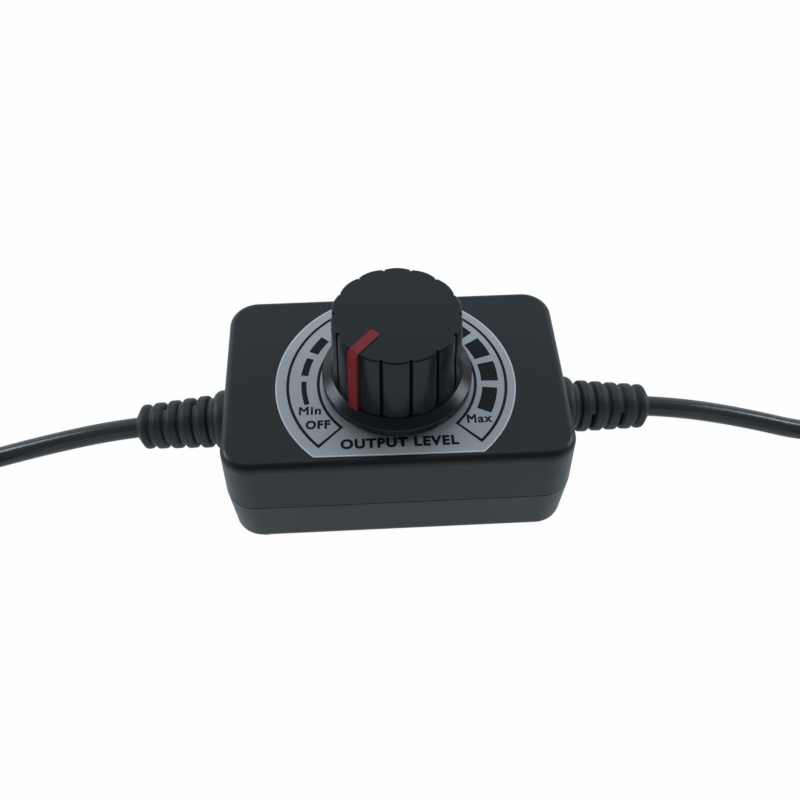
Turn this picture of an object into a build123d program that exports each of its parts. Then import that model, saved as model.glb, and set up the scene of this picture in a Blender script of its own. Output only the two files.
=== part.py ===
from build123d import *
import math
import os

# An in-line rotary dimmer: a two-part casing with a printed dial label, a skirted knob on a switched
# potentiometer, a small circuit board, and a lead with a strain relief at each end of the casing.
# Millimetres. The origin is the middle of the casing's underside, X runs along the leads, -Y faces the
# user and +Z is up.

# Casing
case_length = 58.1
case_width = 37.3
case_height = 22.2
parting_height = 11.2
case_corner = 5.3
upper_draft = 0.41
lower_draft = 0.6
top_round = 1.4
bottom_round = 2.4
wall = 1.8
roof = 2.0
floor = 1.8
lip_height = 1.2
lip_thickness = 0.8
lip_gap = 0.1
parting_bevel = 0.1

# Casing screws and their bosses, on one diagonal
boss_inset = 5.7
boss_wall = 1.7
boss_rib = 1.0
screw_radius = 1.3
screw_length = 12.0
screw_seat = 3.2
screw_gap = 0.05
screw_point = 0.65
head_radius = 2.2
head_height = 1.6
head_round = 0.5
head_gap = 0.2
cross_length = 3.0
cross_width = 0.7
cross_depth = 0.9

# Dial: the knob's axis and the printed label round it
dial_x = 0.3
dial_y = -1.8
label_radius = 20.1
label_front_margin = 1.55
label_back_margin = 3.05
label_corner = 0.6
label_thickness = 0.2
label_shift = -0.25
label_turn = -0.65

# Knob, with heights above the top of the casing
skirt_radius = 12.4
skirt_lift = 1.65
skirt_rim = 1.3
skirt_rise = 1.12
skirt_wall = 0.9
skirt_edge = 0.25
skirt_ledge = 0.15
body_radius = 10.68
body_draft = 0.5
knob_height = 16.6
knob_edge = 0.2
knob_wall = 1.5
knob_roof = 2.0
hub_wall = 1.7
hub_gap = 0.6
flute_count = 14
flute_width = 0.45
flute_depth = 0.45
lobe_radius = 5.0
lobe_edge = 0.25
pointer_width = 1.7
pointer_inner = 5.0
pointer_depth = 0.8
pointer_rise = 0.2
pointer_proud = 0.4
pointer_sink = 0.5
pointer_round = 0.8
pointer_corner = 0.35
knob_travel = 276.0

# Potentiometer, hung from the roof of the casing by its threaded bushing
bushing_wall = 0.46
bushing_length = 6.0
bushing_edge = 0.3
bushing_gap = 0.1
shaft_radius = 3.0
shaft_gap = 0.04
shaft_flat = 1.5
shaft_cover = 2.9
shaft_edge = 0.4
flat_margin = 0.6
washer_rim = 2.2
washer_thickness = 0.5
nut_wall = 1.5
nut_thickness = 2.0
thread_gap = 0.03
pot_depth = 11.4
pot_height = 8.6
frame_plate = 1.2
frame_tab = 0.4
frame_tab_width = 4.0
switch_height = 2.6
housing_floor = 1.0
chamber_radius = 4.3
housing_wall = 0.6
rotor_gap = 0.25
track_thickness = 0.35
track_width = 1.4
track_opening = 2.0
wiper_height = 0.55
wiper_gap = 0.04
finger_radius = 0.45
rotor_play = 0.3
spindle_radius = 1.4
spindle_gap = 0.1
cam_radius = 2.2
cam_thickness = 1.0
switch_wall = 0.9
switch_floor = 0.4
leaf_thickness = 0.2
leaf_clearance = 0.3
contact_margin = 0.6
terminal_width = 0.8
terminal_thickness = 0.35
terminal_pitch = 2.5
terminal_tail = 1.0
terminal_clearance = 0.3

# Circuit board and what is soldered to it
board_end_gap = 2.8
board_side_gap = 2.45
board_thickness = 1.6
board_corner = 1.0
post_radius = 1.7
post_inset = 2.4
package_edge = 0.25
wire_room = 0.25
transistor_width = 6.5
transistor_length = 6.1
transistor_height = 2.3
tab_width = 5.2
tab_reach = 1.1
tab_thickness = 0.5
leg_reach = 2.2
leg_pitch = 2.3
capacitor_radius = 3.15
capacitor_length = 10.0
capacitor_edge = 0.4
capacitor_lead = 0.3
capacitor_pitch = 2.5
capacitor_bend = 1.9
crimp_radius = 0.26
crimp_setback = 2.0
chip_length = 4.9
chip_width = 3.9
chip_height = 1.5
chip_pitch = 1.27
chip_legs = 4
chip_lead_width = 0.42
chip_lead_reach = 1.05
chip_stand = 0.15
dimple_radius = 0.3
dimple_inset = 0.9
diode_length = 4.3
diode_width = 2.6
diode_height = 2.2
diode_tab = 0.5
diode_tab_width = 1.4
diode_tab_tuck = 1.1
resistor_length = 2.0
resistor_width = 1.25
resistor_height = 0.55
resistor_edge = 0.07
resistor_count = 5
resistor_pitch = 3.0
resistor_inset = 3.5

# Strain reliefs
relief_length = 16.5
relief_droop = 4.0
input_roll = -45.0
output_roll = 0.0
relief_gap = 0.05
collar_radius = 5.4
collar_taper = 0.3
collar_round = 1.5
neck_radius = 3.5
flange_radius = 5.2
flange_thickness = 1.3
ring_count = 5
ring_width = 2.05
ring_gap = 0.6
ring_round = 0.6
end_ring = 2.5
end_cone = 1.2
end_tip_radius = 2.1
ring_root_radius = 4.65
ring_end_radius = 3.8
ring_depth = 0.45
window_width = 4.0
window_floor = 0.45

# Leads and the wires in them
lead_radius = 1.8
lead_gap = 0.05
lead_inside = 7.05
wire_radius = 0.65
wire_spread = 0.75
bend_share = 0.45

# Connectors on the leads' far ends
tail_radius = 2.9
tail_flare = 0.9
tail_length = 10.0
tail_hold = 3.5
tail_rings = 3
tail_groove = 0.5
tail_groove_width = 0.8
plug_radius = 5.0
plug_length = 15.0
grip_count = 16
grip_setback = 3.5
grip_length = 8.5
grip_depth = 0.25
grip_width = 0.8
barrel_radius = 2.75
barrel_length = 9.5
barrel_wall = 0.45
barrel_step = 0.2
barrel_root = 3.0
tip_length = 1.2
contact_radius = 1.05
contact_wall = 0.25
socket_radius = 5.5
socket_length = 20.0
socket_depth = 9.5
socket_bore = 3.15
sleeve_wall = 0.25
socket_lead_in = 0.6
pin_radius = 1.0
pin_setback = 0.8
fit_gap = 0.03
connector_round = 0.8

# Levels that follow from the sizes above
ceiling = case_height - roof
top_width = case_width - 2 * upper_draft
upper_slope = upper_draft / (case_height - parting_height)
lower_slope = lower_draft / parting_height
boss_radius = screw_radius + boss_wall
bushing_radius = shaft_radius + shaft_gap + bushing_wall
bushing_top = ceiling + bushing_length
pot_width = 2 * (chamber_radius + housing_wall)
board_top = ceiling - pot_height
board_bottom = board_top - board_thickness
switch_top = board_top + switch_height
housing_top = ceiling - frame_plate
chamber_floor = switch_top + housing_floor
rotor_top = housing_top - rotor_play
rotor_bottom = chamber_floor + track_thickness + wiper_gap + wiper_height
skirt_bottom = case_height + skirt_lift
skirt_top = skirt_bottom + skirt_rim
body_bottom = skirt_top + skirt_rise
knob_top = case_height + knob_height
hub_bottom = bushing_top + hub_gap
flat_bottom = hub_bottom + flat_margin
shaft_top = knob_top - shaft_cover
board_length = case_length - 2 * (boss_inset + boss_radius + board_end_gap)
board_width = case_width - 2 * (wall + board_side_gap)
pot_side = pot_width / 2 + frame_tab
right_row = (dial_x + pot_side + board_length / 2) / 2
left_row = (dial_x - pot_side - board_length / 2) / 2
wire_lane = wire_spread + 4 * wire_radius + wire_room
transistor_y = -wire_lane - leg_reach - transistor_length / 2
capacitor_back = -wire_lane
chip_y = wire_lane + chip_lead_reach + chip_width / 2
diode_y = wire_lane + diode_width / 2
pointer_angle = 90 + knob_travel / 2
ring_pitch = ring_width + ring_gap
collar_length = relief_length - end_ring - (ring_count - 1) * ring_pitch - ring_gap
dial = Pos(dial_x, dial_y)
boss_places = [
    (case_length / 2 - boss_inset, case_width / 2 - boss_inset),
    (boss_inset - case_length / 2, boss_inset - case_width / 2),
]

# Routes of the two leads, from the end of the jacket inside the casing to the end inside the connector
output_route = [
    (case_length / 2 - lead_inside, 0.0, parting_height),
    (33.0, 0.0, parting_height),
    (48.5, 0.1, 9.8),
    (62.5, -0.4, 6.6),
    (80.5, -2.7, 1.9),
    (95.5, 0.5, lead_radius),
    (111.0, 9.5, lead_radius),
    (125.5, 11.0, lead_radius),
    (136.0, 4.0, lead_radius),
    (138.5, -7.5, lead_radius),
    (132.5, -16.5, 2.0),
    (123.0, -20.2, 3.4),
    (113.0, -20.0, plug_radius),
    (104.5, -20.0, plug_radius),
]
input_route = [
    (lead_inside - case_length / 2, 0.0, parting_height),
    (-33.0, 0.0, parting_height),
    (-48.5, 0.1, 9.8),
    (-62.5, -0.2, 6.5),
    (-79.5, -1.3, 1.9),
    (-94.0, 2.0, lead_radius),
    (-109.5, 10.2, lead_radius),
    (-124.0, 11.2, lead_radius),
    (-134.5, 4.4, lead_radius),
    (-137.5, -7.0, lead_radius),
    (-132.0, -16.4, 2.0),
    (-122.5, -20.0, 3.6),
    (-112.5, -20.2, socket_radius),
    (-104.0, -20.2, socket_radius),
]


def block(length, width, corner, *levels):
    """A round-cornered block through the given heights, each with how far its walls stand in there."""
    sections = []
    for height, inset in levels:
        outline = RectangleRounded(length - 2 * inset, width - 2 * inset, corner - inset)
        sections.append(Pos(0, 0, height) * outline)
    return loft(sections, ruled=True)


def rod(radius, low, high):
    """An upright cylinder between two heights."""
    return extrude(Pos(0, 0, low) * Circle(radius), high - low)


def pipe(outer, inner, low, high):
    """An upright tube between two heights."""
    return extrude(Pos(0, 0, low) * (Circle(outer) - Circle(inner)), high - low)


def bar(low_corner, high_corner):
    """A square-edged block between two opposite corners."""
    size = [high - low for low, high in zip(low_corner, high_corner)]
    middle = [(high + low) / 2 for low, high in zip(low_corner, high_corner)]
    return Pos(*middle) * Box(*size)


def relief_holes():
    """The round holes in the end walls, half in each shell, that grip the strain reliefs' necks."""
    hole = Rot(0, 90, 0) * rod(neck_radius + relief_gap, -case_length, case_length)
    return Pos(0, 0, parting_height) * hole


def boss_ribs(x, y, low, high):
    """Two ribs that tie a screw boss to the corner's walls."""
    reach_x = math.copysign(boss_inset - wall / 2, x)
    reach_y = math.copysign(boss_inset - wall / 2, y)
    middle = (low + high) / 2
    along = Pos(x + reach_x / 2, y, middle) * Box(abs(reach_x), boss_rib, high - low)
    across = Pos(x, y + reach_y / 2, middle) * Box(boss_rib, abs(reach_y), high - low)
    return along + across


def make_upper_casing():
    """The deep upper shell, with the bushing's hole, two screw bosses and a rebate for the lower lip."""
    parting = (parting_height, parting_bevel)
    widest = (parting_height + parting_bevel, 0)
    shell = block(case_length, case_width, case_corner, parting, widest, (case_height, upper_draft))
    shell = fillet(shell.faces().sort_by(Axis.Z)[-1].edges(), top_round)
    lean = upper_slope * (ceiling - parting_height)
    low = (parting_height, 0)
    shell -= block(case_length - 2 * wall, case_width - 2 * wall, case_corner - wall, low, (ceiling, lean))
    step = wall - lip_thickness - lip_gap
    lip_top = parting_height + lip_height + lip_gap
    shell -= block(case_length - 2 * step, case_width - 2 * step, case_corner - step, low, (lip_top, 0))
    for x, y in boss_places:
        shell += Pos(x, y) * rod(boss_radius, parting_height, ceiling + roof / 2)
        shell += boss_ribs(x, y, lip_top + lip_gap, ceiling + roof / 2)
    for x, y in boss_places:
        pilot_top = screw_seat + screw_length + screw_radius
        shell -= Pos(x, y) * rod(screw_radius + screw_gap, parting_height, pilot_top)
    shell -= dial * rod(bushing_radius + bushing_gap, parting_height, case_height)
    return shell - relief_holes()


def make_lower_casing():
    """The shallow lower shell, with a locating lip, board posts and the screws' sunk seats."""
    widest = (parting_height - parting_bevel, 0)
    parting = (parting_height, parting_bevel)
    shell = block(case_length, case_width, case_corner, (0, lower_draft), widest, parting)
    shell = fillet(shell.faces().sort_by(Axis.Z)[0].edges(), bottom_round)
    inner_length = case_length - 2 * wall
    inner_width = case_width - 2 * wall
    inner_corner = case_corner - wall
    lean = lower_slope * (parting_height - floor)
    shell -= block(inner_length, inner_width, inner_corner, (floor, lean), (parting_height, 0))
    step = wall - lip_thickness
    lip_base = (parting_height - lip_height / 2, 0)
    lip_top = (parting_height + lip_height, 0)
    lip = block(case_length - 2 * step, case_width - 2 * step, case_corner - step, lip_base, lip_top)
    lip -= block(inner_length, inner_width, inner_corner, lip_base, lip_top)
    shell += lip
    for x, y in boss_places:
        shell += Pos(x, y) * rod(boss_radius, floor / 2, parting_height)
        shell += boss_ribs(x, y, floor / 2, parting_height - lip_height)
    for x, y in boss_places:
        shell -= Pos(x, y) * rod(screw_radius + screw_gap, 0, parting_height)
        shell -= Pos(x, y) * rod(head_radius + head_gap, 0, screw_seat)
    post_x = board_length / 2 - post_inset
    post_y = board_width / 2 - post_inset
    for place in GridLocations(2 * post_x, 2 * post_y, 2, 2):
        shell += place * rod(post_radius, floor / 2, board_bottom)
    return shell - relief_holes()


def make_casing_screws():
    """Two self-tapping screws with sunk pan heads, driven from below."""
    head = fillet(
        rod(head_radius, screw_seat - head_height, screw_seat).edges().sort_by(Axis.Z)[0],
        head_round,
    )
    shank_end = screw_seat + screw_length
    shank = chamfer(
        rod(screw_radius, screw_seat, shank_end).edges().sort_by(Axis.Z)[-1],
        screw_point,
    )
    slot_top = screw_seat - head_height + cross_depth
    slot = bar((-cross_length / 2, -cross_width / 2, 0), (cross_length / 2, cross_width / 2, slot_top))
    screw = head + shank - slot - Rot(0, 0, 90) * slot
    return Compound(children=[Pos(x, y) * screw for x, y in boss_places])


def make_dial_label():
    """A round film label, cut straight along the front and the back, with a hole for the bushing."""
    front = label_front_margin - top_width / 2 - dial_y
    back = top_width / 2 - label_back_margin - dial_y
    outline = Circle(label_radius) & Pos(0, (front + back) / 2) * Rectangle(2 * label_radius, back - front)
    outline = fillet(outline.vertices(), label_corner)
    outline = Rot(0, 0, label_turn) * Pos(label_shift, 0) * outline - Circle(bushing_radius + bushing_gap)
    outline = dial * outline
    return extrude(Pos(0, 0, case_height) * outline, label_thickness)


def make_mounting_washer():
    """A flat washer between the label and the nut."""
    low = case_height + label_thickness
    hole = bushing_radius + bushing_gap
    return dial * pipe(bushing_radius + washer_rim, hole, low, low + washer_thickness)


def make_mounting_nut():
    """The thin hexagon nut that clamps the potentiometer to the roof."""
    low = case_height + label_thickness + washer_thickness
    outline = RegularPolygon(bushing_radius + nut_wall, 6, major_radius=False)
    outline -= Circle(bushing_radius + thread_gap)
    return dial * extrude(Pos(0, 0, low) * outline, nut_thickness)


def shaft_section(radius):
    """The D-shaped section of the shaft's upper end and of the knob's bore."""
    cut = Pos(0, radius - shaft_flat + radius) * Rectangle(4 * radius, 2 * radius)
    return Circle(radius) - cut


def pointer_solid():
    """The pointer bar along +X: over the knob's top, round its edge and down its side into the skirt."""
    outer = body_radius + pointer_proud
    inner = body_radius - body_draft - pointer_depth
    over = knob_top + pointer_rise
    under = knob_top - pointer_depth
    low = body_bottom - pointer_sink
    profile = Polyline(
        (pointer_inner, over),
        (outer - body_draft, over),
        (outer, low),
        (inner, low),
        (inner, under),
        (pointer_inner, under),
        close=True,
    )
    strip = extrude(make_face(Plane.XZ * profile), pointer_width / 2, both=True)
    strip = fillet(strip.edges().filter_by(Axis.Y).group_by(Axis.Z)[-1].sort_by(Axis.X)[-1], pointer_round)
    return fillet(strip.edges().filter_by(Axis.Z).sort_by(Axis.X)[:2], pointer_corner)


def make_knob_pointer():
    """The coloured pointer, moulded into the knob."""
    return dial * Rot(0, 0, pointer_angle) * pointer_solid()


def grip_outline(crest):
    """The grip's outline at one height: a round core with a gently domed lobe between each two grooves."""
    pitch = 2 * crest * math.sin(math.pi / flute_count)
    dome = Pos(crest - lobe_radius, 0) * Circle(lobe_radius)
    lobe = dome & Pos(crest, 0) * Rectangle(4 * flute_depth, pitch - flute_width)
    lobe = fillet(lobe.vertices().group_by(Axis.X)[-1], lobe_edge)
    outline = Circle(crest - flute_depth)
    step = 360 / flute_count
    for index in range(flute_count):
        outline += Rot(0, 0, pointer_angle + (index + 0.5) * step) * lobe
    return outline


def make_knob():
    """The skirted knob: a lobed grip, a shallow cone of a skirt, and a hub bored for the shaft."""
    rim_inner = skirt_radius - skirt_wall
    grip_inner = body_radius - knob_wall
    inside_top = knob_top - knob_roof
    hub_radius = shaft_radius + hub_wall
    skirt = Polyline(
        (0, skirt_bottom),
        (skirt_radius, skirt_bottom),
        (skirt_radius, skirt_top),
        (body_radius + skirt_ledge, body_bottom),
        (0, body_bottom),
        close=True,
    )
    turned = revolve(make_face(Plane.XZ * skirt), Axis.Z)
    rims = turned.edges().filter_by(GeomType.CIRCLE).group_by(SortBy.RADIUS)[-1]
    turned = fillet(rims.sort_by(Axis.Z)[-1], skirt_edge)
    top_crest = body_radius - body_draft
    sections = [
        Pos(0, 0, body_bottom) * grip_outline(body_radius),
        Pos(0, 0, knob_top - knob_edge) * grip_outline(top_crest),
        Pos(0, 0, knob_top) * grip_outline(top_crest - knob_edge),
    ]
    turned += loft(sections, ruled=True)
    hollow = Polyline(
        (0, skirt_bottom),
        (rim_inner, skirt_bottom),
        (rim_inner, skirt_top - skirt_wall / 2),
        (grip_inner, body_bottom - skirt_wall),
        (grip_inner - body_draft, inside_top),
        (hub_radius, inside_top),
        (hub_radius, hub_bottom),
        (0, hub_bottom),
        close=True,
    )
    turned -= revolve(make_face(Plane.XZ * hollow), Axis.Z)
    turned -= Rot(0, 0, pointer_angle) * pointer_solid()
    bore_low = flat_bottom + shaft_gap
    bore_length = shaft_top - flat_bottom
    bore = extrude(Pos(0, 0, bore_low) * shaft_section(shaft_radius + shaft_gap), bore_length)
    entry = rod(shaft_radius + shaft_gap, case_height, bore_low)
    turned -= Rot(0, 0, pointer_angle) * (bore + entry)
    return dial * turned


def make_pot_shaft():
    """The metal shaft, flattened where the knob grips it."""
    stem = rod(shaft_radius, rotor_top, flat_bottom)
    grip = extrude(Pos(0, 0, flat_bottom) * shaft_section(shaft_radius), shaft_top - flat_bottom)
    grip = chamfer(grip.faces().sort_by(Axis.Z)[-1].edges(), shaft_edge)
    return dial * Rot(0, 0, pointer_angle) * (stem + grip)


def make_pot_rotor():
    """The moulded rotor under the shaft, with a spindle and the switch's cam below it."""
    disc = rod(chamber_radius - rotor_gap, rotor_bottom, rotor_top)
    cam_low = board_top + (switch_height - cam_thickness) / 2
    spindle = rod(spindle_radius, cam_low, rotor_bottom)
    lobe = Circle(cam_radius) & (Circle(spindle_radius) + Pos(cam_radius, 0) * Circle(cam_radius))
    cam = extrude(Pos(0, 0, cam_low) * lobe, cam_thickness)
    return dial * Rot(0, 0, pointer_angle + 180) * (disc + spindle + cam)


def make_pot_wiper():
    """The springy wiper ring under the rotor, with one finger that runs on the track."""
    outer = chamber_radius - rotor_gap
    spring = leaf_thickness
    ring = pipe(outer, outer - track_width, rotor_bottom - spring, rotor_bottom)
    middle = outer - track_width / 2
    finger_low = chamber_floor + track_thickness + wiper_gap
    finger = Pos(middle, 0) * rod(finger_radius, finger_low, rotor_bottom - spring)
    return dial * Rot(0, 0, pointer_angle) * (ring + finger)


def make_pot_track():
    """The horseshoe of resistive film on the floor of the housing."""
    outer = chamber_radius - rotor_gap
    ring = Circle(outer) - Circle(outer - track_width)
    gap = Pos(0, -outer) * Rectangle(track_opening, 2 * outer)
    return dial * extrude(Pos(0, 0, chamber_floor) * (ring - gap), track_thickness)


def make_pot_housing():
    """The moulded housing round the rotor."""
    outline = Rectangle(pot_width, pot_depth)
    housing = extrude(Pos(0, 0, switch_top) * outline, housing_top - switch_top)
    housing -= rod(chamber_radius, chamber_floor, housing_top)
    housing -= rod(spindle_radius + spindle_gap, switch_top, chamber_floor)
    return dial * housing


def make_pot_frame():
    """The die-cast plate with the threaded bushing, and two tabs folded down over the housing."""
    half = pot_width / 2
    plate = extrude(
        Pos(0, 0, housing_top) * Rectangle(pot_width + 2 * frame_tab, pot_depth),
        frame_plate,
    )
    tab_low = switch_top - switch_height / 2
    tab = bar((half, -frame_tab_width / 2, tab_low), (half + frame_tab, frame_tab_width / 2, housing_top))
    bushing = rod(bushing_radius, ceiling, bushing_top)
    bushing = chamfer(bushing.edges().sort_by(Axis.Z)[-1], bushing_edge)
    frame = plate + bushing + tab + Rot(0, 0, 180) * tab
    return dial * (frame - rod(shaft_radius + shaft_gap, housing_top, bushing_top))


def make_switch_base():
    """The moulded base of the switch, between the housing and the board."""
    outline = Rectangle(pot_width, pot_depth)
    base = extrude(Pos(0, 0, board_top) * outline, switch_height)
    room = Rectangle(pot_width - 2 * switch_wall, pot_depth - 2 * switch_wall)
    return dial * (base - extrude(Pos(0, 0, board_top + switch_floor) * room, switch_height))


def contact_strip(x):
    """A metal strip that stands in the switch's room, held at its two ends."""
    reach = pot_depth / 2 - switch_wall
    low = board_top + (switch_height - cam_thickness) / 2
    return bar((x, -reach, low), (x + leaf_thickness, reach, low + cam_thickness))


def make_switch_leaf():
    """The moving spring leaf, beside the cam."""
    return dial * contact_strip(cam_radius + leaf_clearance)


def make_switch_contact():
    """The fixed contact that the leaf closes on."""
    room_side = pot_width / 2 - switch_wall
    return dial * contact_strip(room_side - contact_margin - leaf_thickness)


def terminal_places():
    """Middle of each terminal: three of the track in front, two of the switch behind."""
    front = -(pot_depth + terminal_thickness) / 2
    track = [(index * terminal_pitch, front) for index in (-1, 0, 1)]
    switch = [(index * terminal_pitch, -front) for index in (-1, 1)]
    return track, switch


def terminals(places, high):
    """Flat pins down the housing's face and through the board."""
    low = board_bottom - terminal_tail
    pin = extrude(Pos(0, 0, low) * Rectangle(terminal_width, terminal_thickness), high - low)
    return Compound(children=[dial * Pos(x, y) * pin for x, y in places])


def make_track_terminals():
    """The three pins of the resistive track."""
    return terminals(terminal_places()[0], chamber_floor)


def make_switch_terminals():
    """The two pins of the switch."""
    return terminals(terminal_places()[1], switch_top)


def make_circuit_board():
    """The glass-fibre board, drilled for the potentiometer's pins."""
    outline = RectangleRounded(board_length, board_width, board_corner)
    for x, y in terminal_places()[0] + terminal_places()[1]:
        outline -= dial * Pos(x, y) * Circle(terminal_width / 2 + terminal_clearance)
    return extrude(Pos(0, 0, board_bottom) * outline, board_thickness)


def make_transistor():
    """The flat power transistor that switches the light."""
    low = board_top + tab_thickness
    body = Pos(0, 0, low) * extrude(Rectangle(transistor_width, transistor_length), transistor_height)
    body = chamfer(body.faces().sort_by(Axis.Z)[-1].edges(), package_edge)
    return Pos(right_row, transistor_y) * body


def make_transistor_tab():
    """The transistor's heat tab under its body, and its two outer legs."""
    half = transistor_length / 2
    high = board_top + tab_thickness
    leg_root = half - tab_thickness
    tab_end = leg_root - tab_thickness
    tab = bar((-tab_width / 2, -half - tab_reach, board_top), (tab_width / 2, tab_end, high))
    leg = bar((-terminal_width / 2, leg_root, board_top), (terminal_width / 2, half + leg_reach, high))
    pieces = [tab] + [Pos(side * leg_pitch, 0) * leg for side in (-1, 1)]
    return Compound(children=[Pos(right_row, transistor_y) * piece for piece in pieces])


def make_capacitor():
    """The electrolytic capacitor's can, lying on the board, with its crimped neck."""
    half = capacitor_length / 2
    can = rod(capacitor_radius, -half, half)
    can = fillet(can.edges(), capacitor_edge)
    can -= Pos(0, 0, half - crimp_setback) * Torus(capacitor_radius, crimp_radius)
    return Pos(left_row, capacitor_back - half, board_top + capacitor_radius) * Rot(-90, 0, 0) * can


def make_capacitor_leads():
    """The capacitor's two leads, bent down to the board."""
    axis_height = board_top + capacitor_radius
    path = FilletPolyline(
        (0, capacitor_back, axis_height),
        (0, capacitor_back + capacitor_bend, axis_height),
        (0, capacitor_back + capacitor_bend, board_top),
        radius=capacitor_bend / 2,
    )
    lead = sweep(Plane(path @ 0, z_dir=path % 0) * Circle(capacitor_lead), path=path)
    return Compound(children=[Pos(left_row + side * capacitor_pitch / 2) * lead for side in (-1, 1)])


def make_driver_chip():
    """The driver chip's body, with the dimple that marks its first pin."""
    low = board_top + chip_stand
    body = extrude(Pos(0, 0, low) * Rectangle(chip_length, chip_width), chip_height)
    body = chamfer(body.faces().sort_by(Axis.Z)[-1].edges(), package_edge)
    corner = Pos(dimple_inset - chip_length / 2, dimple_inset - chip_width / 2, low + chip_height)
    return Pos(left_row, chip_y) * (body - corner * Sphere(dimple_radius))


def make_chip_leads():
    """The chip's eight legs, each stepped down to the board."""
    half = chip_width / 2
    mid = board_top + chip_stand + chip_height / 2
    side = chip_lead_width / 2
    toe = half + chip_lead_reach
    step = bar((-side, half, board_top), (side, half + chip_stand, mid))
    foot = bar((-side, half, board_top), (side, toe, board_top + chip_stand))
    row = [place * (step + foot) for place in GridLocations(chip_pitch, 0, chip_legs, 1)]
    legs = row + [Rot(0, 0, 180) * leg for leg in row]
    return Compound(children=[Pos(left_row, chip_y) * leg for leg in legs])


def make_diode():
    """The flyback diode's moulded body."""
    low = board_top + diode_tab
    body = extrude(Pos(0, 0, low) * Rectangle(diode_length, diode_width), diode_height)
    body = chamfer(body.faces().sort_by(Axis.Z)[-1].edges(), package_edge)
    return Pos(right_row, diode_y) * body


def make_diode_tabs():
    """The diode's two end tabs, folded under it."""
    side = diode_tab_width / 2
    end = diode_length / 2
    tab = bar((end - diode_tab_tuck, -side, board_top), (end + diode_tab, side, board_top + diode_tab))
    return Compound(children=[Pos(right_row, diode_y) * Rot(0, 0, turn) * tab for turn in (0, 180)])


def make_chip_resistors():
    """A row of small chip resistors along the back of the board."""
    chip = Pos(0, 0, board_top) * extrude(Rectangle(resistor_width, resistor_length), resistor_height)
    chip = chamfer(chip.edges().filter_by(Axis.X), resistor_edge)
    row = Pos(0, board_width / 2 - resistor_inset)
    places = GridLocations(resistor_pitch, 0, resistor_count, 1)
    return Compound(children=[row * place * chip for place in places])


def route_radii(points):
    """The largest even bend that the runs beside each corner of a route allow."""
    radii = []
    for before, corner, after in zip(points, points[1:], points[2:]):
        coming = Vector(*corner) - Vector(*before)
        going = Vector(*after) - Vector(*corner)
        turn = math.radians(coming.get_angle(going))
        radii.append(bend_share * min(coming.length, going.length) / math.tan(turn / 2))
    return radii


def tube(points, radius):
    """A round tube along straight runs joined by tangent arcs."""
    path = FilletPolyline(*points, radius=route_radii(points))
    return sweep(Plane(path @ 0, z_dir=path % 0) * Circle(radius), path=path), path.length


def make_lead(name, route):
    """A lead's jacket, from inside the casing to inside its connector."""
    jacket, length = tube(route, lead_radius)
    share = jacket.volume / (math.pi * lead_radius**2 * length)
    radii = ", ".join(f"{radius:.1f}" for radius in route_radii(route))
    print(f"{name}: length {length:.1f}, volume / (section x length) {share:.5f}, radii {radii}")
    return jacket


def make_wire(route, side):
    """One insulated wire, from the jacket's cut end up over the board's edge and down to its pad."""
    out = math.copysign(1, route[0][0])
    jacket_end = abs(route[0][0])
    pad = board_length / 2 - post_inset / 2 - wire_radius
    over = board_top + 3 * wire_radius
    points = [
        (jacket_end, wire_spread, route[0][2]),
        (jacket_end - 2 * wire_radius, wire_spread, route[0][2]),
        ((jacket_end + pad) / 2, wire_spread + wire_radius, over),
        (pad + 2 * wire_radius, wire_spread + 2 * wire_radius, over + wire_radius),
        (pad, wire_spread + 3 * wire_radius, over - wire_radius),
        (pad, wire_spread + 3 * wire_radius, board_top),
    ]
    return tube([(out * x, side * y, z) for x, y, z in points], wire_radius)[0]


def relief_sleeve():
    """The sleeve along +Z: a tapering core, rounded rings, windows in every second gap and a coned end."""
    ring_span = relief_length - collar_length
    core_low = collar_length / 2
    shoulder = relief_length - end_cone
    core = Cone(ring_root_radius - ring_depth, ring_end_radius - ring_depth, shoulder - core_low)
    sleeve = Pos(0, 0, (core_low + shoulder) / 2) * core
    slab = Rectangle(window_width, 2 * collar_radius) - Circle(lead_radius + window_floor)
    for index in range(ring_count):
        low = collar_length + ring_gap + index * ring_pitch
        share = (low - collar_length) / ring_span
        radius = ring_root_radius + share * (ring_end_radius - ring_root_radius)
        if index < ring_count - 1:
            ring = rod(radius, low, low + ring_width)
        else:
            tip = Pos(0, 0, shoulder + end_cone / 2) * Cone(radius, end_tip_radius, end_cone)
            ring = rod(radius, low, shoulder) + tip
        rims = ring.edges().filter_by(GeomType.CIRCLE).sort_by(Axis.Z)
        sleeve += fillet(rims[:2], ring_round)
        if index % 2:
            sleeve -= extrude(Pos(0, 0, low - ring_gap) * slab, ring_gap)
    return sleeve


def make_strain_relief(route, roll):
    """A moulded strain relief: a flange and neck held in the wall, a domed collar and a ringed sleeve."""
    back = -wall - relief_gap - flange_radius * max(upper_slope, lower_slope)
    flange = rod(flange_radius, back - flange_thickness, back)
    neck = rod(neck_radius, back - flange_thickness / 2, collar_length / 2)
    slope = math.degrees(math.atan(collar_taper / collar_length))
    collar = extrude(Pos(0, 0, relief_gap) * Circle(collar_radius), collar_length - relief_gap, taper=slope)
    collar = fillet(collar.edges().sort_by(Axis.Z)[-1], collar_round)
    root = Rot(0, 90, 0) * (flange + neck + collar)
    sleeve = Rot(0, 90 + relief_droop, 0) * Rot(0, 0, roll) * relief_sleeve()
    relief = Pos(case_length / 2, 0, parting_height) * (root + sleeve)
    if route[0][0] < 0:
        relief = Rot(0, 0, 180) * relief
    return relief - tube(route[:5], lead_radius + lead_gap)[0]


def connector_plane(route):
    """The connector's frame: on the lead's end, level, with +Z along the last run."""
    end = Vector(*route[-1])
    run = end - Vector(*route[-2])
    return Plane(origin=end, z_dir=(run.X, run.Y, 0))


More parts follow.
